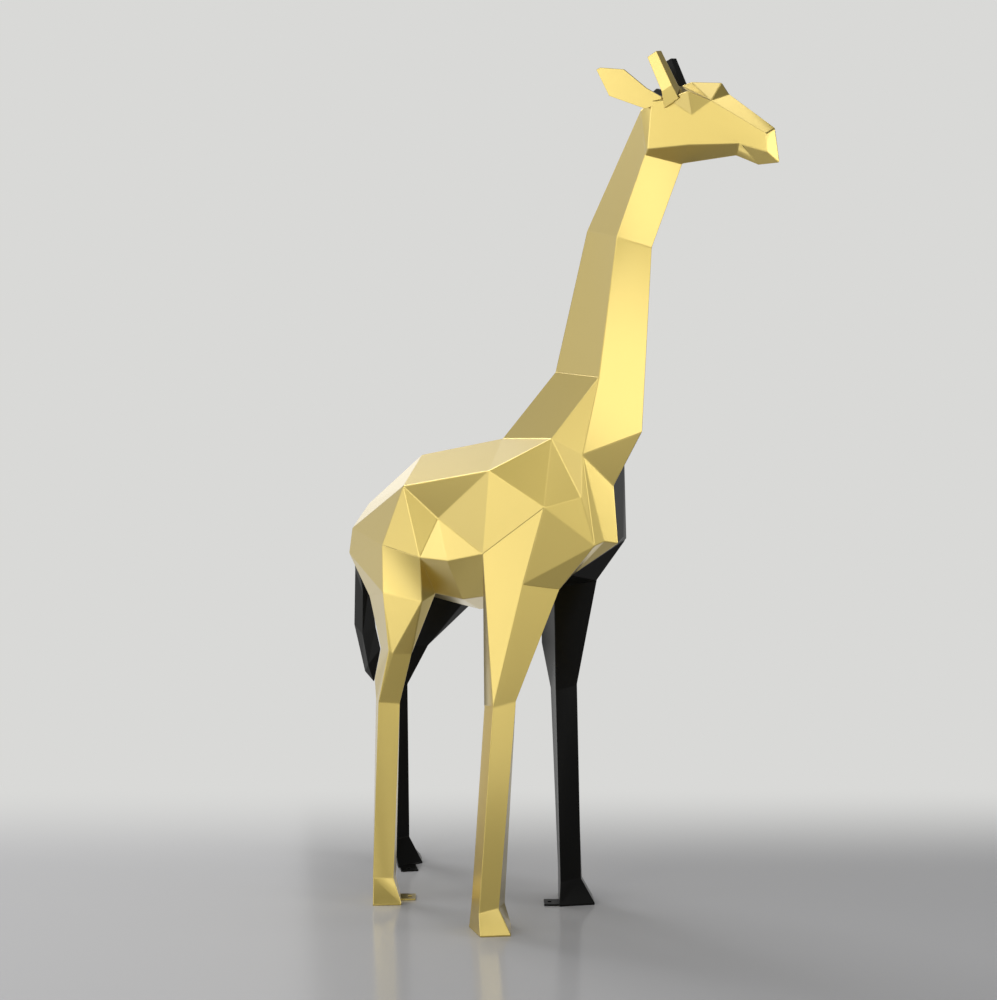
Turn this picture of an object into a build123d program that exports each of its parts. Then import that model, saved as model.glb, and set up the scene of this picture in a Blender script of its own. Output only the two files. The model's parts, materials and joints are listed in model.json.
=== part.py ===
from build123d import *
import os

os.makedirs("parts", exist_ok=True)

# Faceted giraffe floor sculpture: folded sheet-steel skin over a welded square-tube armature.
# Units are millimetres. +X is where the giraffe looks, +Y its left, +Z up; the floor is Z = 0.
# The right half is painted gold and the left half black; they meet on the plane Y = 0.

# ---------------------------------------------------------------- driving dimensions
WALL = 2.0             # skin sheet
PLATE = 4.0            # floor plates with their lugs
LUG_WIDTH = 38.0       # lug, side to side
LUG_NOSE = 12.0        # lug, hole centre to its outer end
LUG_TAIL = 34.0        # lug, hole centre to its end inside the foot
LUG_HOLE = 9.0         # clearance hole for an M8 floor bolt
EAR_SHEET = 5.0        # solid plate ears
EAR_DROOP = 30.0       # the left ear hangs this much lower, in degrees
HORN_DEPTH = 25.0      # horn bar at its tip, front to back
HORN_WIDTH = 17.0      # horn bar at its tip, side to side
HORN_LENGTH = 76.0
SHORT_HORN = 10.0      # the left horn is this much shorter and stands a little further back
HORN_WALL = 2.0
BEAM = 30.0            # spine, neck post and crossbars, square tube
LEG_TUBE = 20.0        # leg posts, square tube
TUBE_WALL = 2.0
BEAM_Z = 790.0         # centre height of the spine beam
FRONT_X = -25.0        # shoulder crossbar
REAR_X = -345.0        # hip crossbar

RIGHT, LEFT = -1, 1

# ---------------------------------------------------------------- corner points of one half
# Each corner is (X, half-width, Z); the half-width is laid off to the right or to the left.
KEEL = {
    "rump": (-496, 0, 828), "loin": (-342, 0, 950), "withers": (-120, 0, 1006),
    "nape_low": (20, 0, 1156), "nape_mid": (100, 0, 1446), "nape_top": (232, 0, 1688),
    "crown": (328, 0, 1736), "brow_top": (353, 0, 1744), "bridge_top": (425, 0, 1744),
    "bridge_low": (443, 0, 1722), "nose_tip": (550, 0, 1661), "lip_front": (562, 0, 1596),
    "lip_low": (514, 0, 1590), "chin": (461, 0, 1606), "throat_top": (334, 0, 1586),
    "throat_mid": (262, 0, 1420), "throat_low": (242, 0, 1054), "breast_top": (172, 0, 938),
    "breast_low": (184, 0, 822), "brisket": (66, 0, 742), "belly_low": (-180, 0, 637),
    "belly_rear": (-306, 0, 646), "crotch": (-440, 0, 660), "dock": (-540, 0, 764),
}
TORSO = {
    "rump_side": (-504, 45, 779), "seat": (-514, 45, 723), "hip": (-302, 105, 900),
    "back_side": (-59, 115, 959), "neck_root": (59, 60, 1030), "haunch": (-353, 115, 770),
    "flank_top": (-219, 90, 839), "flank_rear": (-239, 125, 759), "flank_mid": (-159, 130, 763),
    "belly_side": (-165, 75, 673), "belly_back": (-244, 70, 674), "groin": (-430, 22, 655),
    "armpit_rear": (-91, 91, 692), "armpit_in": (-12, 38, 700), "elbow": (82, 61, 724),
    "shoulder_rear": (-78, 112, 785), "shoulder": (73, 100, 896), "shoulder_low": (22, 105, 733),
    "point_high": (138, 63, 919), "point_low": (165, 52, 822), "breast_side": (173, 32, 829),
    "neck_front": (145, 68, 1007), "neck_side": (178.2, 58.7, 1164.1),
}
HEAD = {
    "neck_mid": (218, 55, 1443), "neck_top": (276, 42, 1604), "neck_crest": (264, 42, 1688),
    "temple": (296, 50, 1707), "eye_rear": (331.7, 44.7, 1710.9), "brow": (384, 52, 1728),
    "eye_low": (382.9, 37.1, 1682.8), "eye_front": (423.5, 31.1, 1710.7),
    "nose_side": (539.7, 13.9, 1651.3), "lip_side": (542.6, 13.5, 1616.2),
    "mouth": (490.3, 21.2, 1628.4), "jaw_front": (482.5, 22.4, 1630.5),
    "jaw_mid": (372.3, 38.7, 1624.8), "jaw_rear": (288.3, 51.1, 1615),
}
FRONT_LEG = {
    "back_up": (-90, 92, 565), "back_knee": (-78, 108, 465), "back_ankle": (-84, 143, 50),
    "back_sole": (-87, 147, PLATE), "out_knee": (-33, 133, 474), "out_ankle": (-40, 170, 44),
    "out_sole": (-24, 185, PLATE), "front_knee": (0, 100, 485), "front_ankle": (-15, 136, 52),
    "front_sole": (20, 139, PLATE), "in_up": (-27, 60, 576), "in_knee": (-41, 80, 470),
    "in_ankle": (-36, 92, 50), "in_sole": (-29, 80, PLATE),
}
HIND_LEG = {
    "stifle_back": (-441, 60, 640), "stifle_out": (-343, 125, 671), "thigh": (-247, 110, 662),
    "gaskin_back": (-391, 80, 537), "gaskin_out": (-328, 125, 548), "crease": (-320, 120, 542),
    "gaskin_front": (-296, 88, 540), "gaskin_in": (-345, 45, 540), "hock": (-396, 95, 472),
    "back_knee": (-388, 100, 430), "out_knee": (-355, 128, 434), "front_knee": (-324, 95, 430),
    "in_knee": (-357, 67, 430), "back_ankle": (-378, 116, 50), "out_ankle": (-357, 147, 52),
    "front_ankle": (-315, 128, 56), "in_ankle": (-336, 97, 50), "back_sole": (-372, 122, PLATE),
    "out_sole": (-336, 171, PLATE), "front_sole": (-292, 129, PLATE), "in_sole": (-345, 74, PLATE),
}
# The left hind leg is stepped back: (height, shift along X, shift along Z), eased in between.
STRIDE = [(0, -168, 0), (50, -185, 0), (430, -149, -16), (545, -108, -28), (655, 0, 0), (2000, 0, 0)]


def stepped_back(point):
    x, width, z = point
    for low, high in zip(STRIDE, STRIDE[1:]):
        if low[0] <= z <= high[0]:
            part = (z - low[0]) / (high[0] - low[0])
            shift = low[1] + part * (high[1] - low[1])
            drop = low[2] + part * (high[2] - low[2])
    return (x + shift, width, z + drop)


def leg(prefix, points):
    return {prefix + name: point for name, point in points.items()}


HALF = {**KEEL, **TORSO, **HEAD, **leg("f_", FRONT_LEG)}
CORNERS = {
    RIGHT: {**HALF, **leg("h_", HIND_LEG)},
    LEFT: {**HALF, **{name: stepped_back(point) for name, point in leg("h_", HIND_LEG).items()}},
}
CORNERS[LEFT]["h_in_sole"] = (-479, 68, PLATE)

# ---------------------------------------------------------------- facets, corner by corner
HEAD_FACETS = [
    "temple nape_top neck_crest", "temple nape_top crown", "neck_crest neck_top jaw_rear temple",
    "crown brow_top eye_front brow", "brow_top bridge_top eye_front",
    "bridge_top bridge_low eye_front", "bridge_low nose_tip nose_side eye_front",
    "crown brow eye_rear temple", "eye_rear brow eye_low", "brow eye_front eye_low",
    "nose_tip lip_front lip_side nose_side",
    "eye_low eye_front nose_side lip_side mouth jaw_front jaw_mid jaw_rear temple eye_rear",
    "mouth lip_side lip_front lip_low", "jaw_front mouth lip_low chin",
    "chin jaw_front jaw_mid throat_top", "throat_top jaw_mid jaw_rear neck_top",
]
NECK_FACETS = [
    "nape_top nape_mid neck_mid neck_top neck_crest", "nape_mid nape_low neck_side neck_mid",
    "neck_top neck_mid throat_mid throat_top", "neck_side neck_front throat_low throat_mid neck_mid",
]
TORSO_FACETS = [
    "hip loin withers", "hip withers back_side", "withers neck_root back_side", "loin hip rump",
    "rump hip rump_side", "rump_side hip haunch", "rump_side haunch seat", "rump rump_side dock",
    "rump_side seat dock", "seat groin crotch", "seat crotch dock", "hip flank_rear haunch",
    "hip flank_top flank_rear", "hip back_side flank_top", "back_side shoulder_rear flank_top",
    "back_side shoulder shoulder_rear", "back_side neck_root shoulder",
    "flank_rear flank_top flank_mid", "flank_top shoulder_rear flank_mid",
    "neck_root neck_front point_high", "neck_root point_high shoulder",
    "shoulder point_high point_low", "shoulder point_low shoulder_low",
    "neck_front point_high point_low", "neck_front point_low breast_side",
    "neck_front breast_side breast_low breast_top", "neck_front throat_low breast_top",
    "breast_side breast_low brisket", "point_low breast_side brisket",
    "shoulder_low point_low elbow", "point_low brisket elbow",
    "flank_rear flank_mid belly_side belly_back", "belly_side flank_mid shoulder_rear armpit_rear",
    "belly_back belly_side belly_low", "belly_back belly_low belly_rear",
    "belly_side armpit_rear belly_low", "armpit_rear armpit_in belly_low",
    "armpit_in brisket belly_low", "armpit_in elbow brisket", "groin belly_back belly_rear",
    "groin belly_rear crotch", "withers nape_low neck_side neck_root",
    "neck_root neck_side neck_front",
]
SHANK = [
    "out_knee front_knee front_ankle out_ankle", "front_knee in_knee in_ankle front_ankle",
    "in_knee back_knee back_ankle in_ankle", "back_knee out_knee out_ankle back_ankle",
    "out_ankle front_ankle front_sole out_sole", "front_ankle in_ankle in_sole front_sole",
    "in_ankle back_ankle back_sole in_sole", "back_ankle out_ankle out_sole back_sole",
]
FRONT_LEG_FACETS = [
    "shoulder_rear shoulder shoulder_low f_out_knee",
    "shoulder_rear f_out_knee f_back_knee f_back_up armpit_rear",
    "shoulder_low elbow f_front_knee f_out_knee",
    "f_in_up f_in_knee f_front_knee elbow armpit_in",
    "f_in_up armpit_in armpit_rear f_back_up f_back_knee f_in_knee",
]
HIND_LEG_FACETS = [
    "seat haunch h_stifle_out", "seat h_stifle_out h_stifle_back",
    "h_stifle_out h_gaskin_out h_gaskin_back h_stifle_back",
    "haunch flank_rear h_thigh h_stifle_out", "h_stifle_out h_thigh h_crease h_gaskin_out",
    "flank_rear belly_back h_thigh", "h_thigh belly_back h_gaskin_front",
    "h_thigh h_gaskin_front h_crease", "h_gaskin_out h_crease h_out_knee",
    "h_crease h_gaskin_front h_front_knee h_out_knee",
    "h_gaskin_out h_out_knee h_back_knee h_hock h_gaskin_back",
    "belly_back groin h_gaskin_in h_gaskin_front",
    "h_gaskin_front h_gaskin_in h_in_knee h_front_knee",
    "groin seat h_stifle_back h_gaskin_back h_gaskin_in",
    "h_gaskin_in h_gaskin_back h_hock h_back_knee h_in_knee",
]
FRONT_LEG_FACETS += [" ".join("f_" + name for name in row.split()) for row in SHANK]
HIND_LEG_FACETS += [" ".join("h_" + name for name in row.split()) for row in SHANK]
SOLES = ["f_out_sole f_front_sole f_in_sole f_back_sole", "h_out_sole h_front_sole h_in_sole h_back_sole"]


# ---------------------------------------------------------------- folding the skin
def corner(name, side):
    x, width, z = CORNERS[side][name]
    return Vector(x, side * width, z)


def triangles(facets):
    rows = [facet.split() for facet in facets]
    return [(row[0], a, b) for row in rows for a, b in zip(row[1:], row[2:])]


def closed(faces):
    return Solid(Shell(faces))


def polygon(points):
    return Face(Wire.make_polygon(points))


def skin_solid(facets, side, caps):
    """The full block under a set of facets, closed by the flat or folded openings in caps."""
    faces = [polygon([corner(n, side) for n in tri]) for tri in triangles(facets)]
    faces += [polygon([corner(n, side) for n in cap.split()]) for cap in caps]
    return closed(faces)


def inward_steps(side):
    """How far each corner moves so that every sheet around it is WALL thick."""
    facets = HEAD_FACETS + NECK_FACETS + TORSO_FACETS + FRONT_LEG_FACETS + HIND_LEG_FACETS
    block = skin_solid(facets, side, [" ".join(KEEL)] + SOLES)
    normals = {}
    for face in block.faces():
        outward = face.normal_at()
        for vertex in face.vertices():
            spot = (round(vertex.X, 3), round(vertex.Y, 3), round(vertex.Z, 3))
            normals.setdefault(spot, []).append(outward)
    steps = {}
    for name in CORNERS[side]:
        point = corner(name, side)
        around = normals[(round(point.X, 3), round(point.Y, 3), round(point.Z, 3))]
        around = [n for n in around if not (name in KEEL and abs(n.Y) > 0.999)]
        around = [n for n in around if not (name.endswith("_sole") and n.Z < -0.999)]
        step = Vector(0, 0, 0)
        for _ in range(100):
            pull = Vector(0, 0, 0)
            for outward in around:
                pull += outward * (outward.dot(step) + WALL)
            step -= pull * (1.2 / len(around))
            if name in KEEL:
                step = Vector(step.X, 0, step.Z)
            if name.endswith("_sole"):
                step = Vector(step.X, step.Y, 0)
        steps[name] = step
    return steps


def sheet(facets, outer, inner):
    """Folded sheet: outer facets, the same facets pushed in, and a rim along every free edge."""
    tris = triangles(facets)
    faces = [polygon([points[n] for n in tri]) for tri in tris for points in (outer, inner)]
    edges = [tuple(sorted(pair)) for a, b, c in tris for pair in ((a, b), (b, c), (c, a))]
    for a, b in sorted(edge for edge in edges if edges.count(edge) == 1):
        faces.append(polygon([outer[a], outer[b], inner[b]]))
        faces.append(polygon([outer[a], inner[b], inner[a]]))
    return closed(faces)


OUTER = {side: {name: corner(name, side) for name in CORNERS[side]} for side in (RIGHT, LEFT)}
INNER = {}
for side in (RIGHT, LEFT):
    steps = inward_steps(side)
    INNER[side] = {name: OUTER[side][name] + steps[name] for name in steps}

with BuildPart() as head_shell_right:
    add(sheet(HEAD_FACETS, OUTER[RIGHT], INNER[RIGHT]))
with BuildPart() as head_shell_left:
    add(sheet(HEAD_FACETS, OUTER[LEFT], INNER[LEFT]))
with BuildPart() as neck_shell_right:
    add(sheet(NECK_FACETS, OUTER[RIGHT], INNER[RIGHT]))
with BuildPart() as neck_shell_left:
    add(sheet(NECK_FACETS, OUTER[LEFT], INNER[LEFT]))
with BuildPart() as torso_shell_right:
    add(sheet(TORSO_FACETS, OUTER[RIGHT], INNER[RIGHT]))
with BuildPart() as torso_shell_left:
    add(sheet(TORSO_FACETS, OUTER[LEFT], INNER[LEFT]))
with BuildPart() as front_leg_shell_right:
    add(sheet(FRONT_LEG_FACETS, OUTER[RIGHT], INNER[RIGHT]))
with BuildPart() as front_leg_shell_left:
    add(sheet(FRONT_LEG_FACETS, OUTER[LEFT], INNER[LEFT]))
with BuildPart() as hind_leg_shell_right:
    add(sheet(HIND_LEG_FACETS, OUTER[RIGHT], INNER[RIGHT]))
with BuildPart() as hind_leg_shell_left:
    add(sheet(HIND_LEG_FACETS, OUTER[LEFT], INNER[LEFT]))


# ---------------------------------------------------------------- horns, ears and tail
HEAD_KEEL = "nape_top crown brow_top bridge_top bridge_low nose_tip lip_front lip_low chin throat_top"
NECK_RING = "throat_top neck_top neck_crest nape_top"


def head_block(side):
    """The head without its hollow, for trimming what is welded onto it."""
    return skin_solid(HEAD_FACETS + [NECK_RING], side, [HEAD_KEEL])


def horn(side, length, foot, lean):
    """Tapered box bar on a flared foot; each row is (distance along the bar, extra section)."""
    with BuildPart() as bar:
        for along, extra in ((-30, 16), (-6, 6), (2, 3), (length, 0)):
            with BuildSketch(Plane(origin=foot + lean * along, x_dir=(0.87, 0, 0.491), z_dir=lean)):
                Rectangle(HORN_DEPTH + extra, HORN_WIDTH + extra)
        loft(ruled=True)
        for along, extra in ((-31, 3), (length - HORN_WALL, 0)):
            with BuildSketch(Plane(origin=foot + lean * along, x_dir=(0.87, 0, 0.491), z_dir=lean)):
                Rectangle(HORN_DEPTH + extra - 2 * HORN_WALL, HORN_WIDTH + extra - 2 * HORN_WALL)
        loft(ruled=True, mode=Mode.SUBTRACT)
        add(head_block(side), mode=Mode.SUBTRACT)
    return bar.part


# Ear outline in its own plane, from the root at (305, 1711): X towards the nose, Y up.
EAR = [(-122, 55), (-114, 59), (-67, 56), (-22, 21), (8, 5), (8, -9), (-14, -15), (-23, -19), (-96, 5)]


def ear(side, droop):
    """Flat plate standing off the cheek, turned down about its root and trimmed by the head."""
    with BuildPart() as plate:
        root = Plane(origin=(305, side * 42, 1711), x_dir=(1, -0.4 * side, 0), z_dir=(-0.4 * side, -1, 0))
        with BuildSketch(root):
            with Locations((-droop * 0.6, 0)):
                Polygon(*EAR, rotation=droop, align=None)
        extrude(amount=-side * EAR_SHEET)
        add(head_block(side), mode=Mode.SUBTRACT)
    return plate.part


with BuildPart() as horn_right:
    add(horn(RIGHT, HORN_LENGTH, Vector(329, -35, 1730.5), Vector(-0.491, -0.027, 0.870)))
with BuildPart() as horn_left:
    add(horn(LEFT, HORN_LENGTH - SHORT_HORN, Vector(303, 33, 1722), Vector(-0.45, 0.027, 0.893)))
with BuildPart() as ear_right:
    add(ear(RIGHT, 0))
with BuildPart() as ear_left:
    add(ear(LEFT, EAR_DROOP))

# Tail: a folded diamond bar hanging from the dock; rear edge, side ridges and front edge by level.
TAIL_REAR = [(-539.1, 0, 763), (-539, 0, 678), (-543, 0, 555), (-512, 0, 454)]
TAIL_SIDE = [(-525.4, 12, 745), (-504, 13, 631), (-506, 13, 540), (-491, 12, 474)]
TAIL_FRONT = [(-505.1, 0, 727.6), (-500, 0, 640), (-479, 0, 558), (-465, 0, 511)]
TAIL_TIP = Vector(-485, 0, 434)


def ring(level, shrink):
    """Four corners of the tail at one level, drawn in towards its middle by the sheet's thickness."""
    rear, out, front = Vector(TAIL_REAR[level]), Vector(TAIL_SIDE[level]), Vector(TAIL_FRONT[level])
    left, right = out, Vector(out.X, -out.Y, out.Z)
    middle = (rear + front + left + right) * 0.25
    return [point + (middle - point) * shrink for point in (rear, left, front, right)]


def tail_skin(shrink, tip):
    faces = []
    for level in range(3):
        high, low = ring(level, shrink), ring(level + 1, shrink)
        for i in range(4):
            faces.append(polygon([high[i], high[i - 1], low[i]]))
            faces.append(polygon([high[i - 1], low[i - 1], low[i]]))
    low = ring(3, shrink)
    return faces + [polygon([low[i], low[i - 1], tip]) for i in range(4)]


with BuildPart() as tail:
    rim_out, rim_in = ring(0, 0), ring(0, 0.2)
    rim = [polygon([rim_out[i], rim_out[i - 1], rim_in[i - 1]]) for i in range(4)]
    rim += [polygon([rim_out[i], rim_in[i - 1], rim_in[i]]) for i in range(4)]
    add(closed(tail_skin(0, TAIL_TIP) + tail_skin(0.2, TAIL_TIP + Vector(0, 0, 14)) + rim))


# ---------------------------------------------------------------- floor plates with bolt lugs
def floor_plate(prefix, side, hole, heading):
    """Plate closing one foot, with a lug that reaches out under the skin to the bolt hole."""
    with BuildPart() as plate:
        with BuildSketch(Plane.XY):
            sole = [corner(prefix + name, side) for name in ("out_sole", "front_sole", "in_sole", "back_sole")]
            with BuildLine():
                Polyline(*[(point.X, point.Y) for point in sole], close=True)
            make_face()
        extrude(amount=PLATE)
        with BuildSketch(Plane(origin=(hole[0], side * hole[1], 0), x_dir=heading, z_dir=(0, 0, 1))):
            with Locations(((LUG_NOSE - LUG_TAIL) / 2, 0)):
                Rectangle(LUG_NOSE + LUG_TAIL, LUG_WIDTH)
        extrude(amount=PLATE)
        with Locations((hole[0], side * hole[1], PLATE)):
            Hole(radius=LUG_HOLE / 2)
    return plate.part


with BuildPart() as floor_plate_front_right:
    add(floor_plate("f_", RIGHT, (-60, 85), (-0.756, 0.655, 0)))
with BuildPart() as floor_plate_front_left:
    add(floor_plate("f_", LEFT, (-60, 85), (-0.756, -0.655, 0)))
with BuildPart() as floor_plate_hind_right:
    add(floor_plate("h_", RIGHT, (-313, 78), (0.755, 0.655, 0)))
with BuildPart() as floor_plate_hind_left:
    add(floor_plate("h_", LEFT, (-450, 71), (0.765, -0.644, 0)))


# ---------------------------------------------------------------- armature inside the skin
def square_tube(size, stations):
    """Mitred square tube along a run of points."""
    with BuildPart() as tube:
        with BuildLine() as run:
            Polyline(*stations)
        with BuildSketch(Plane(origin=run.line @ 0, z_dir=run.line % 0)):
            Rectangle(size, size)
            Rectangle(size - 2 * TUBE_WALL, size - 2 * TUBE_WALL, mode=Mode.SUBTRACT)
        sweep(transition=Transition.RIGHT)
    return tube.part


BAR_Z = BEAM_Z - BEAM      # crossbars hang directly under the spine beam
with BuildPart() as spine_beam:
    with BuildSketch(Plane.YZ.offset(-430)):
        with Locations((0, BEAM_Z)):
            Rectangle(BEAM, BEAM)
            Rectangle(BEAM - 2 * TUBE_WALL, BEAM - 2 * TUBE_WALL, mode=Mode.SUBTRACT)
    extrude(amount=500)
with BuildPart() as shoulder_crossbar:
    with BuildSketch(Plane.XZ.offset(-92)):
        with Locations((FRONT_X, BAR_Z)):
            Rectangle(BEAM, BEAM)
            Rectangle(BEAM - 2 * TUBE_WALL, BEAM - 2 * TUBE_WALL, mode=Mode.SUBTRACT)
    extrude(amount=184)
with BuildPart() as hip_crossbar:
    with BuildSketch(Plane.XZ.offset(-98)):
        with Locations((REAR_X, BAR_Z)):
            Rectangle(BEAM, BEAM)
            Rectangle(BEAM - 2 * TUBE_WALL, BEAM - 2 * TUBE_WALL, mode=Mode.SUBTRACT)
    extrude(amount=196)
with BuildPart() as neck_post:
    add(square_tube(BEAM, [(40, 0, BEAM_Z), (261, 0, 1638)]))
    split(bisect_by=Plane.XY.offset(BEAM_Z + BEAM / 2), keep=Keep.TOP)

FRONT_POST = [(-44, 136, 0), (-40, 106, 470), (FRONT_X, 80, 745), (FRONT_X, 78, 770)]
HIND_POST_RIGHT = [(-346, 125, 0), (-355, 98, 430), (-341, 84, 545), (REAR_X, 80, 680), (REAR_X, 80, 770)]
HIND_POST_LEFT = [(-508, 121, 0), (-530, 121, 62), (-504, 98, 414), (-447, 85, 520), (-352, 80, 680),
                  (REAR_X, 80, 770)]


def leg_post(side, stations):
    """Leg tube standing on its floor plate and ending under the crossbar."""
    with BuildPart() as post:
        add(square_tube(LEG_TUBE, [(x, side * width, z) for x, width, z in stations]))
        split(bisect_by=Plane.XY.offset(PLATE), keep=Keep.TOP)
        split(bisect_by=Plane.XY.offset(BAR_Z - BEAM / 2), keep=Keep.BOTTOM)
    return post.part


with BuildPart() as leg_post_front_right:
    add(leg_post(RIGHT, FRONT_POST))
with BuildPart() as leg_post_front_left:
    add(leg_post(LEFT, FRONT_POST))
with BuildPart() as leg_post_hind_right:
    add(leg_post(RIGHT, HIND_POST_RIGHT))
with BuildPart() as leg_post_hind_left:
    add(leg_post(LEFT, HIND_POST_LEFT))

# ---------------------------------------------------------------- hand over every piece
PIECES = {
    "head_shell_right": head_shell_right, "head_shell_left": head_shell_left,
    "neck_shell_right": neck_shell_right, "neck_shell_left": neck_shell_left,
    "torso_shell_right": torso_shell_right, "torso_shell_left": torso_shell_left,
    "front_leg_shell_right": front_leg_shell_right, "front_leg_shell_left": front_leg_shell_left,
    "hind_leg_shell_right": hind_leg_shell_right, "hind_leg_shell_left": hind_leg_shell_left,
    "horn_right": horn_right, "horn_left": horn_left, "ear_right": ear_right, "ear_left": ear_left,
    "tail": tail,
    "floor_plate_front_right": floor_plate_front_right, "floor_plate_front_left": floor_plate_front_left,
    "floor_plate_hind_right": floor_plate_hind_right, "floor_plate_hind_left": floor_plate_hind_left,
    "spine_beam": spine_beam, "neck_post": neck_post,
    "shoulder_crossbar": shoulder_crossbar, "hip_crossbar": hip_crossbar,
    "leg_post_front_right": leg_post_front_right, "leg_post_front_left": leg_post_front_left,
    "leg_post_hind_right": leg_post_hind_right, "leg_post_hind_left": leg_post_hind_left,
}
for name, piece in PIECES.items():
    piece.part.label = name
    export_step(piece.part, f"parts/{name}.step")
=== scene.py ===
import json
import math

import bmesh
import bpy
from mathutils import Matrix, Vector

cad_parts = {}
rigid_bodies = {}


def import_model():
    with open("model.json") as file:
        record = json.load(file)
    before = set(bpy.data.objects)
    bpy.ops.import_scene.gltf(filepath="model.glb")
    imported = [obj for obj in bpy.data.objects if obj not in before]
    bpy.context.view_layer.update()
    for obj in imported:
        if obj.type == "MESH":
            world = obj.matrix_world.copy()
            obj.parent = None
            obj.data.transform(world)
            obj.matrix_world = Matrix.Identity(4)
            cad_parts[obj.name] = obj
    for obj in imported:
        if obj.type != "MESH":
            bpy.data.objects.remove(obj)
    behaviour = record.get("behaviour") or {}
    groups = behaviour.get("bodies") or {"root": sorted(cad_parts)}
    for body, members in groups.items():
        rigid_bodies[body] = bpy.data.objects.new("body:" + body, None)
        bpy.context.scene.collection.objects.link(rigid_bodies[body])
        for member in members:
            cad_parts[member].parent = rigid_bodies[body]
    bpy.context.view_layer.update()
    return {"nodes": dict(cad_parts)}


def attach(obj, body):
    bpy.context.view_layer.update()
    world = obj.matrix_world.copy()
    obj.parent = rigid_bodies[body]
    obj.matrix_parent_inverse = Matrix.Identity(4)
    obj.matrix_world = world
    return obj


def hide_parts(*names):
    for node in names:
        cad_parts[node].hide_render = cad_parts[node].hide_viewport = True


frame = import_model()
nodes = frame["nodes"]
scene = bpy.context.scene

RIDGE = 0.0042       # radius of the dressed weld along a sharp fold
SKIN = 0.0016        # sheet thickness of the finished skin
FLAT = 2.6           # folds shallower than this many degrees are one facet
RIDGE_STEPS = 4
SHARP = 1.5          # folds sharper than this many degrees get a dressed weld
ON_PLANE = 1e-5      # a corner this near the middle plane, or another corner, is on it
PLATE_TOP = 0.00405  # just above the top of the floor plates
SEAM_WIDTH = 0.0062  # a face narrower than half of this is the edge of the sheet
SAME_CORNER = 1e-4
FLOOR_SIZE = 6000.0
LIGHT_LEVEL = 1.15
CAMERA_TILT = 9.777
CAMERA_TURN = 40.176

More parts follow.
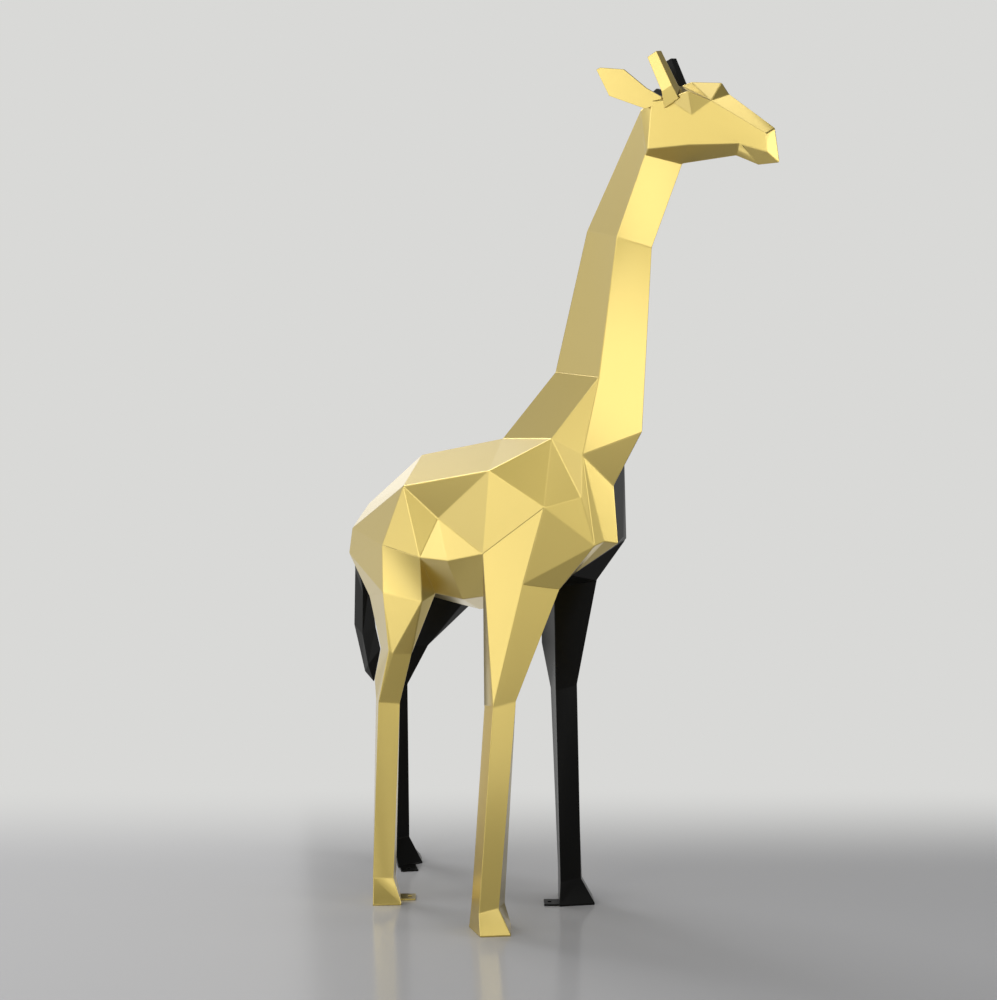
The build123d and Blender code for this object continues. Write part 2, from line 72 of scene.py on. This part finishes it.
# Diagonals along which a facet is twisted instead of folded, as pairs of corners.
# Each y is the distance from the middle plane, so a pair serves both sides.
TWISTS = [
    ((-0.563, 0.116, 0.05), (-0.506, 0.067, 0.414)),
    ((-0.563, 0.116, 0.05), (-0.50536, 0.171, 0.004)),
    ((-0.54181, 0.147, 0.05192), (-0.537, 0.1, 0.414)),
    ((-0.54181, 0.147, 0.05192), (-0.46136, 0.129, 0.004)),
    ((-0.54136, 0.122, 0.004), (-0.521, 0.097, 0.05)),
    ((-0.537, 0.1, 0.414), (-0.45478, 0.045, 0.51252)),
    ((-0.537, 0.1, 0.414), (-0.43305, 0.125, 0.52076)),
    ((-0.53003, 0.095, 0.45162), (-0.45478, 0.045, 0.51252)),
    ((-0.53003, 0.095, 0.45162), (-0.43305, 0.125, 0.52076)),
    ((-0.521, 0.097, 0.05), (-0.473, 0.095, 0.414)),
    ((-0.50257, 0.128, 0.41758), (-0.49943, 0.128, 0.05575)),
    ((-0.50185, 0.08, 0.50983), (-0.43, 0.022, 0.655)),
    ((-0.49943, 0.128, 0.05575), (-0.479, 0.068, 0.004)),
    ((-0.473, 0.095, 0.414), (-0.42907, 0.12, 0.51431)),
    ((-0.45478, 0.045, 0.51252), (-0.244, 0.07, 0.674)),
    ((-0.441, 0.06, 0.64), (-0.43, 0.022, 0.655)),
    ((-0.43, 0.022, 0.655), (-0.391, 0.08, 0.537)),
    ((-0.42907, 0.12, 0.51431), (-0.343, 0.125, 0.671)),
    ((-0.396, 0.095, 0.472), (-0.345, 0.045, 0.54)),
    ((-0.396, 0.095, 0.472), (-0.328, 0.125, 0.548)),
    ((-0.391, 0.08, 0.537), (-0.343, 0.125, 0.671)),
    ((-0.388, 0.1, 0.43), (-0.357, 0.147, 0.052)),
    ((-0.388, 0.1, 0.43), (-0.345, 0.045, 0.54)),
    ((-0.388, 0.1, 0.43), (-0.328, 0.125, 0.548)),
    ((-0.378, 0.116, 0.05), (-0.357, 0.067, 0.43)),
    ((-0.378, 0.116, 0.05), (-0.336, 0.171, 0.004)),
    ((-0.357, 0.147, 0.052), (-0.292, 0.129, 0.004)),
    ((-0.355, 0.128, 0.434), (-0.315, 0.128, 0.056)),
    ((-0.353, 0.115, 0.77), (-0.247, 0.11, 0.662)),
    ((-0.345, 0.045, 0.54), (-0.244, 0.07, 0.674)),
    ((-0.345, 0.074, 0.004), (-0.315, 0.128, 0.056)),
    ((-0.343, 0.125, 0.671), (-0.32, 0.12, 0.542)),
    ((-0.336, 0.097, 0.05), (-0.324, 0.095, 0.43)),
    ((-0.324, 0.095, 0.43), (-0.32, 0.12, 0.542)),
    ((-0.239, 0.125, 0.759), (-0.165, 0.075, 0.673)),
    ((-0.165, 0.075, 0.673), (-0.078, 0.112, 0.785)),
    ((-0.091, 0.091, 0.692), (-0.027, 0.06, 0.576)),
    ((-0.09, 0.092, 0.565), (-0.078, 0.112, 0.785)),
    ((-0.09, 0.092, 0.565), (-0.027, 0.06, 0.576)),
    ((-0.087, 0.147, 0.004), (-0.036, 0.092, 0.05)),
    ((-0.084, 0.143, 0.05), (-0.041, 0.08, 0.47)),
    ((-0.078, 0.108, 0.465), (-0.078, 0.112, 0.785)),
    ((-0.078, 0.108, 0.465), (-0.027, 0.06, 0.576)),
    ((-0.078, 0.112, 0.785), (0.022, 0.105, 0.733)),
    ((-0.04, 0.17, 0.044), (0.02, 0.139, 0.004)),
    ((-0.036, 0.092, 0.05), (0.0, 0.1, 0.485)),
    ((-0.033, 0.133, 0.474), (-0.015, 0.136, 0.052)),
    ((-0.029, 0.08, 0.004), (-0.015, 0.136, 0.052)),
    ((-0.027, 0.06, 0.576), (0.0, 0.1, 0.485)),
    ((-0.027, 0.06, 0.576), (0.082, 0.061, 0.724)),
    ((0.0, 0.1, 0.485), (0.022, 0.105, 0.733)),
    ((0.1, 0.0, 1.446), (0.1782, 0.0587, 1.1641)),
    ((0.145, 0.068, 1.007), (0.184, 0.0, 0.822)),
    ((0.1782, 0.0587, 1.1641), (0.242, 0.0, 1.054)),
    ((0.1782, 0.0587, 1.1641), (0.262, 0.0, 1.42)),
    ((0.232, 0.0, 1.688), (0.276, 0.042, 1.604)),
    ((0.262, 0.0, 1.42), (0.276, 0.042, 1.604)),
    ((0.264, 0.042, 1.688), (0.2883, 0.0511, 1.615)),
    ((0.2883, 0.0511, 1.615), (0.334, 0.0, 1.586)),
    ((0.328, 0.0, 1.736), (0.3317, 0.0447, 1.7109)),
    ((0.3723, 0.0387, 1.6248), (0.461, 0.0, 1.606)),
    ((0.3829, 0.0371, 1.6828), (0.4825, 0.0224, 1.6305)),
    ((0.3829, 0.0371, 1.6828), (0.4903, 0.0212, 1.6284)),
    ((0.443, 0.0, 1.722), (0.5397, 0.0139, 1.6513)),
    ((0.4825, 0.0224, 1.6305), (0.514, 0.0, 1.59)),
    ((0.4903, 0.0212, 1.6284), (0.562, 0.0, 1.596)),
    ((0.5426, 0.0135, 1.6162), (0.55, 0.0, 1.661)),
]
SHELLS = ["head_shell", "neck_shell", "torso_shell", "front_leg_shell", "hind_leg_shell"]


# ---------------------------------------------------------------- materials
def paint(name, base, dark, metallic, rough, coat, grain):
    mat = bpy.data.materials.new(name)
    mat.use_nodes = True
    tree = mat.node_tree
    shader = tree.nodes["Principled BSDF"]
    shader.inputs["Metallic"].default_value = metallic
    shader.inputs["Coat Weight"].default_value = coat
    shader.inputs["Coat Roughness"].default_value = 0.24
    shader.inputs["Coat IOR"].default_value = 1.9
    coords = tree.nodes.new("ShaderNodeTexCoord")
    noise = tree.nodes.new("ShaderNodeTexNoise")
    noise.inputs["Scale"].default_value = 3.0
    noise.inputs["Detail"].default_value = 3.0
    mix = tree.nodes.new("ShaderNodeMix")
    mix.data_type = "RGBA"
    mix.inputs[6].default_value = (*base, 1)
    mix.inputs[7].default_value = (*dark, 1)
    tree.links.new(coords.outputs["Object"], noise.inputs["Vector"])
    tree.links.new(noise.outputs["Fac"], mix.inputs[0])
    tree.links.new(mix.outputs[2], shader.inputs["Base Color"])
    spread = tree.nodes.new("ShaderNodeMapRange")
    spread.inputs["To Min"].default_value = rough - 0.03
    spread.inputs["To Max"].default_value = rough + 0.04
    tree.links.new(noise.outputs["Fac"], spread.inputs["Value"])
    tree.links.new(spread.outputs["Result"], shader.inputs["Roughness"])
    fine = tree.nodes.new("ShaderNodeTexNoise")
    fine.inputs["Scale"].default_value = 260.0
    fine.inputs["Detail"].default_value = 2.0
    bump = tree.nodes.new("ShaderNodeBump")
    bump.inputs["Strength"].default_value = grain
    bump.inputs["Distance"].default_value = 0.0004
    tree.links.new(coords.outputs["Object"], fine.inputs["Vector"])
    tree.links.new(fine.outputs["Fac"], bump.inputs["Height"])
    tree.links.new(bump.outputs["Normal"], shader.inputs["Normal"])
    return mat


GOLD = paint("gold_satin", (0.69, 0.515, 0.092), (0.65, 0.48, 0.078), 1.0, 0.29, 1.0, 0.12)
BLACK = paint("black_satin", (0.0025, 0.0025, 0.002), (0.0035, 0.0035, 0.003), 0.0, 0.28, 0.0, 0.15)
BLACK.node_tree.nodes["Principled BSDF"].inputs["Specular IOR Level"].default_value = 0.15
STEEL = paint("frame_primer", (0.10, 0.10, 0.10), (0.12, 0.12, 0.12), 0.3, 0.55, 0.0, 0.2)
PAINTS = {"gold_paint": GOLD, "black_paint": BLACK, "frame_steel": STEEL}


def dress(obj, slot_name):
    obj.data.materials.clear()
    obj.data.materials.append(PAINTS[slot_name])


def side_slot(name):
    return "gold_paint" if name.endswith("right") else "black_paint"


# ---------------------------------------------------------------- skins
def is_rim(face):
    """A strip of the sheet's own edge: on the middle plane, on a floor plate, or along a seam."""
    if all(abs(v.co.y) < ON_PLANE for v in face.verts) or all(v.co.z < PLATE_TOP for v in face.verts):
        return True
    return 2 * face.calc_area() < SEAM_WIDTH * max(e.calc_length() for e in face.edges)


def outer_facets(node):
    """The outside facets of a folded shell, as lists of corner points."""
    bm = bmesh.new()
    bm.from_mesh(node.data)
    bmesh.ops.remove_doubles(bm, verts=bm.verts, dist=ON_PLANE)
    left = {f for f in bm.faces if not is_rim(f)}
    sets = []
    while left:
        todo = [left.pop()]
        found = set(todo)
        while todo:
            for edge in todo.pop().edges:
                for other in edge.link_faces:
                    if other in left:
                        left.remove(other)
                        found.add(other)
                        todo.append(other)
        sets.append(found)
    outside = max(sets, key=lambda faces: sum(f.calc_area() for f in faces))
    facets = [[tuple(round(c, 6) for c in v.co) for v in f.verts] for f in outside]
    bm.free()
    return sorted(facets)


def joined_skin(names):
    """All shells as one closed surface, each facet marked with its shell's place in names."""
    bm = bmesh.new()
    corners = {}
    for index, name in enumerate(names):
        for facet in outer_facets(nodes[name]):
            ring = []
            for spot in facet:
                key = tuple(round(c, 5) for c in spot)
                if key not in corners:
                    corners[key] = bm.verts.new(spot)
                ring.append(corners[key])
            bm.faces.new(ring).material_index = index
    bmesh.ops.recalc_face_normals(bm, faces=bm.faces)
    bmesh.ops.dissolve_limit(
        bm, angle_limit=math.radians(FLAT), verts=bm.verts, edges=bm.edges, delimit={"MATERIAL"}
    )
    return bm


def is_twist(edge):
    """Whether an edge is one of the listed diagonals."""
    ends = [Vector((v.co.x, abs(v.co.y), v.co.z)) for v in edge.verts]
    for pair in TWISTS:
        a, b = (Vector(spot) for spot in pair)
        for one, two in ((a, b), (b, a)):
            if (ends[0] - one).length < SAME_CORNER and (ends[1] - two).length < SAME_CORNER:
                return True
    return False


def round_ridges(bm):
    """A dressed weld, a narrow rounded strip, along every fold that is not a twist."""
    folds = [e for e in bm.edges if len(e.link_faces) == 2 and e.calc_face_angle() > math.radians(SHARP)]
    folds = [e for e in folds if not is_twist(e)]
    bmesh.ops.bevel(
        bm, geom=folds, offset=RIDGE, offset_type="OFFSET", segments=RIDGE_STEPS, profile=0.5,
        affect="EDGES", clamp_overlap=True, material=-1, loop_slide=True,
    )
    for face in bm.faces:
        face.smooth = True


def peel(bm, index, name):
    """One shell's part of the joined surface, given the sheet's thickness inwards."""
    mesh = bpy.data.meshes.new(name)
    part = bm.copy()
    other = [f for f in part.faces if f.material_index != index]
    bmesh.ops.delete(part, geom=other, context="FACES")
    for face in part.faces:
        face.material_index = 0
    part.to_mesh(mesh)
    part.free()
    obj = bpy.data.objects.new(name, mesh)
    scene.collection.objects.link(obj)
    sheet = obj.modifiers.new("sheet", "SOLIDIFY")
    sheet.thickness = SKIN
    sheet.offset = -1
    even = obj.modifiers.new("even", "WEIGHTED_NORMAL")
    even.mode = "FACE_AREA"
    even.weight = 50
    return obj


names = [f"{shell}_{side}" for shell in SHELLS for side in ("right", "left")]
surface = joined_skin(names)
round_ridges(surface)
for index, name in enumerate(names):
    skin = peel(surface, index, name + "_skin")
    dress(skin, side_slot(name))
    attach(skin, "root")
    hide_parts(name)
surface.free()


# ---------------------------------------------------------------- plates, bars and armature
def edge_break(obj, width, segments=2):
    """Solid pieces keep their CAD form, with their sharp edges dressed."""
    weld = obj.modifiers.new("weld", "WELD")
    weld.merge_threshold = 0.00002
    flat = obj.modifiers.new("flat", "DECIMATE")
    flat.decimate_type = "DISSOLVE"
    flat.angle_limit = math.radians(1.0)
    bevel = obj.modifiers.new("edges", "BEVEL")
    bevel.width = width
    bevel.segments = segments
    bevel.limit_method = "ANGLE"
    bevel.angle_limit = math.radians(14)
    bevel.use_clamp_overlap = True


BAR_EDGE = 0.0014
EAR_EDGE = 0.0010
PLATE_EDGE = 0.0006
EDGES = (
    ("horn", BAR_EDGE), ("ear", EAR_EDGE),
    ("floor_plate_front", PLATE_EDGE), ("floor_plate_hind", PLATE_EDGE),
)
for name, width in EDGES:
    for side in ("right", "left"):
        piece = nodes[f"{name}_{side}"]
        dress(piece, side_slot(piece.name))
        edge_break(piece, width)
dress(nodes["tail"], "black_paint")
edge_break(nodes["tail"], BAR_EDGE)
for name, piece in nodes.items():
    if name.startswith(("spine", "neck_post", "shoulder_cross", "hip_cross", "leg_post")):
        dress(piece, "frame_steel")


# ---------------------------------------------------------------- floor, camera and light
def stage_plane(name, size, z):
    mesh = bpy.data.meshes.new(name)
    half = size / 2
    corners = [(-half, -half, z), (half, -half, z), (half, half, z), (-half, half, z)]
    mesh.from_pydata(corners, [], [(0, 1, 2, 3)])
    obj = bpy.data.objects.new(name, mesh)
    scene.collection.objects.link(obj)
    return obj


# Grey in a band under the figure, turning pale before it and behind it.
floor = stage_plane("floor", FLOOR_SIZE, 0.0)
floor_mat = bpy.data.materials.new("pale_floor")
floor_mat.use_nodes = True
tree = floor_mat.node_tree
shader = tree.nodes["Principled BSDF"]
shader.inputs["Base Color"].default_value = (0.585, 0.585, 0.60, 1)
shader.inputs["Roughness"].default_value = 0.14
shader.inputs["Specular IOR Level"].default_value = 0.5
coords = tree.nodes.new("ShaderNodeTexCoord")
along = tree.nodes.new("ShaderNodeVectorMath")
along.operation = "DOT_PRODUCT"
along.inputs[1].default_value = (-0.6452, 0.7640, 0.0)
centred = tree.nodes.new("ShaderNodeMath")
centred.operation = "ADD"
centred.inputs[1].default_value = 0.36
either_way = tree.nodes.new("ShaderNodeMath")
either_way.operation = "ABSOLUTE"
ramp = tree.nodes.new("ShaderNodeMapRange")
ramp.interpolation_type = "SMOOTHSTEP"
ramp.inputs["From Min"].default_value = 0.69
ramp.inputs["From Max"].default_value = 1.41
far = tree.nodes.new("ShaderNodeEmission")
far.inputs["Color"].default_value = (0.694, 0.694, 0.68, 1)
blend = tree.nodes.new("ShaderNodeMixShader")
tree.links.new(coords.outputs["Object"], along.inputs[0])
tree.links.new(along.outputs["Value"], centred.inputs[0])
tree.links.new(centred.outputs["Value"], either_way.inputs[0])
tree.links.new(either_way.outputs["Value"], ramp.inputs["Value"])
tree.links.new(ramp.outputs["Result"], blend.inputs[0])
tree.links.new(shader.outputs["BSDF"], blend.inputs[1])
tree.links.new(far.outputs["Emission"], blend.inputs[2])
tree.links.new(blend.outputs["Shader"], tree.nodes["Material Output"].inputs["Surface"])
floor.data.materials.append(floor_mat)

world = bpy.data.worlds.new("studio")
scene.world = world
world.use_nodes = True
tree = world.node_tree
background = tree.nodes["Background"]
# Pale at the horizon and dimmer overhead.
sky = tree.nodes.new("ShaderNodeTexCoord")
parts = tree.nodes.new("ShaderNodeSeparateXYZ")
height = tree.nodes.new("ShaderNodeMapRange")
height.interpolation_type = "SMOOTHSTEP"
height.inputs["From Min"].default_value = 0.06
height.inputs["From Max"].default_value = 0.32
height.inputs["To Min"].default_value = 0.70
height.inputs["To Max"].default_value = 0.24
tree.links.new(sky.outputs["Generated"], parts.inputs["Vector"])
tree.links.new(parts.outputs["Z"], height.inputs["Value"])
tree.links.new(height.outputs["Result"], background.inputs["Strength"])
background.inputs["Color"].default_value = (1.0, 1.0, 0.985, 1)


def softbox(name, at, aim, width, height, watts):
    light = bpy.data.lights.new(name, "AREA")
    light.shape = "RECTANGLE"
    light.size = width
    light.size_y = height
    light.energy = watts
    obj = bpy.data.objects.new(name, light)
    obj.location = at
    obj.visible_camera = False
    obj.rotation_euler = (Vector(aim) - Vector(at)).to_track_quat("-Z", "Y").to_euler()
    scene.collection.objects.link(obj)
    return obj


# Name, place, aim, width, height and watts.
SOFTBOXES = [
    ("sky_m180_35", (-4.1, -0.0, 3.77), (0, 0, 0.9), 1.8, 1.8, 50.74),
    ("sky_30_8", (4.29, 2.48, 1.6), (0, 0, 0.9), 1.8, 1.8, 40.45),
    ("neckF", (1.15, -1.0, 0.8), (0.23, -0.03, 1.3), 0.7, 0.6, 1.45),
    ("noseF", (1.6, -0.9, 1.75), (0.4, 0, 1.6), 0.7, 0.6, 2.39),
    ("top", (0, 0, 5.9), (0, 0, 0.9), 1.8, 1.8, 19.03),
    ("sky_m120_8", (-2.48, -4.29, 1.6), (0, 0, 0.9), 1.8, 1.8, 14.05),
    ("sky_m135_35", (-2.9, -2.9, 3.77), (0, 0, 0.9), 1.8, 1.8, 13.41),
    ("sky_m180_62", (-2.35, -0.0, 5.31), (0, 0, 0.9), 1.8, 1.8, 13.17),
    ("sky_m90_8", (0.0, -4.95, 1.6), (0, 0, 0.9), 1.8, 1.8, 12.84),
    ("lowR", (-1.1, -1.8, 0.35), (-0.2, -0.1, 0.7), 1.0, 0.8, 1.77),
    ("sky_m90_35", (0.0, -4.1, 3.77), (0, 0, 0.9), 1.8, 1.8, 11.57),
    ("sky_m60_8", (2.48, -4.29, 1.6), (0, 0, 0.9), 1.8, 1.8, 9.64),
    ("lowRR", (-1.7, -1.25, 0.6), (-0.1, -0.1, 0.9), 1.0, 0.8, 1.19),
    ("sky_150_8", (-4.29, 2.48, 1.6), (0, 0, 0.9), 1.8, 1.8, 4.70),
    ("back_rim", (-4.04, 2.19, 3.05), (0, 0, 0.9), 1.4, 1.4, 3.6),
    ("flank", (-2.11, -1.42, 1.77), (-0.21, -0.12, 0.79), 0.7, 0.7, 2.4),
    ("chest", (0.75, -0.45, 0.35), (0.2, -0.03, 1.0), 0.5, 0.5, 0.2),
]
# The lights near the figure light only the figure, so they leave no patch on the floor.
CLOSE = {"neckF", "noseF", "lowR", "lowRR", "flank", "chest"}
figure = bpy.data.collections.new("figure")
for obj in list(scene.objects):
    if obj.type == "MESH" and obj != floor:
        figure.objects.link(obj)
for name, at, aim, width, height, watts in SOFTBOXES:
    lamp = softbox(name, at, aim, width, height, watts * LIGHT_LEVEL)
    if name in CLOSE:
        lamp.light_linking.receiver_collection = figure

camera = bpy.data.objects.new("camera", bpy.data.cameras.new("camera"))
camera.data.sensor_fit = "HORIZONTAL"
camera.data.sensor_width = 36.0
camera.data.lens = 105.41
camera.data.clip_end = 10000.0
camera.location = (3.7189, -4.5592, 1.9040)
camera.rotation_euler = (math.radians(90 - CAMERA_TILT), 0.0, math.radians(CAMERA_TURN))
scene.collection.objects.link(camera)
scene.camera = camera
scene.view_settings.view_transform = "Standard"

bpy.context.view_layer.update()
